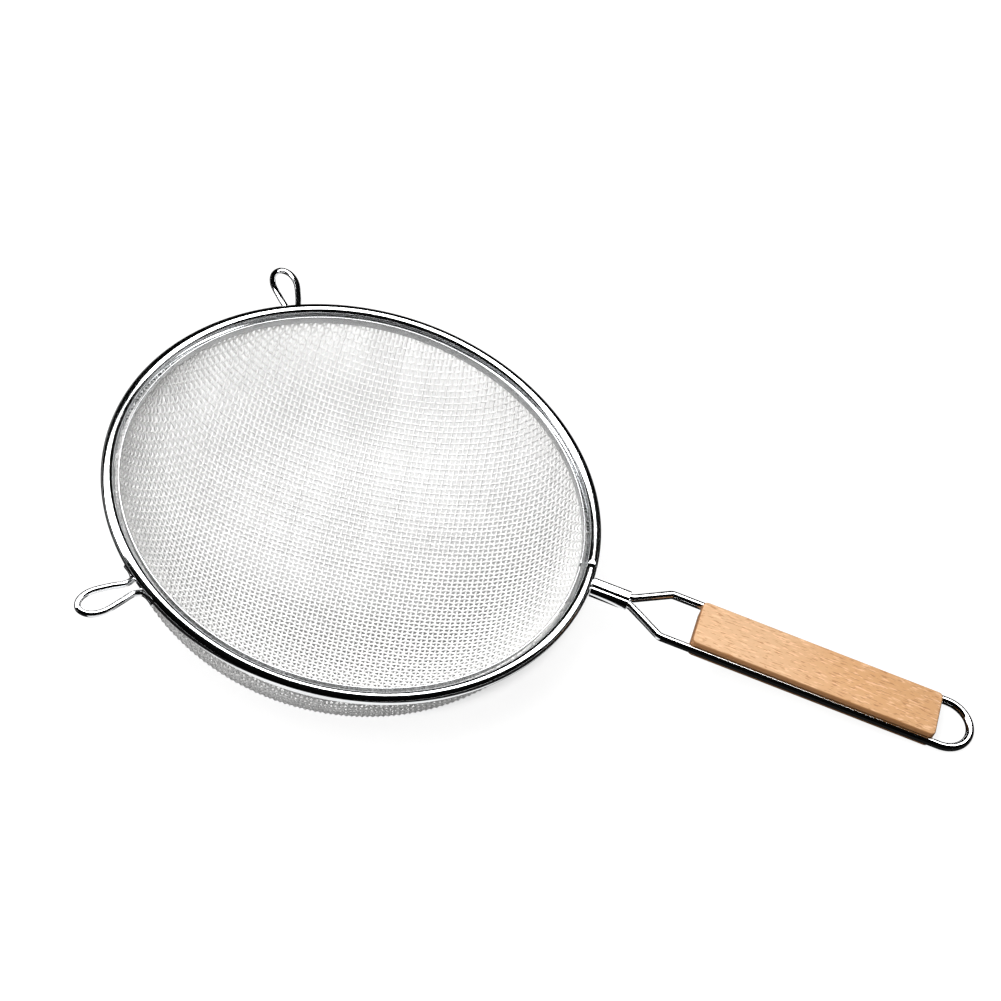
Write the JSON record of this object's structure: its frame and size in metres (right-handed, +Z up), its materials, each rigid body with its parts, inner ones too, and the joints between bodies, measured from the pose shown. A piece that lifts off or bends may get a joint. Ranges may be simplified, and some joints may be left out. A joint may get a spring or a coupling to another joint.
{
  "type": "mesh strainer",
  "caption": "Round wire-mesh bowl strainer with a rolled steel rim, wire ears to rest on a pot, and a bent-wire handle with a flat wooden grip and a hanging loop.",
  "frame": {"origin": "under the middle of the strainer's box, on the surface that it lies on", "axes": "+X along the handle, away from the bowl; +Z up; the strainer lies at rest on its bowl and on the end of its handle, so the rim dips towards the handle"},
  "size_m": [0.42, 0.2448, 0.1113],
  "materials": {
    "woven_steel": "satin",
    "polished_steel": "polished",
    "pale_beech": "satin"
  },
  "bodies": {
    "root": {"mesh_bowl": "woven_steel", "rim_hoop": "polished_steel", "rim_core_wire": "polished_steel", "inner_band": "polished_steel", "handle_wire": "polished_steel", "neck_sleeve": "polished_steel", "wood_grip": "pale_beech", "ear_left": "polished_steel", "ear_right": "polished_steel"}
  },
  "joints": []
}
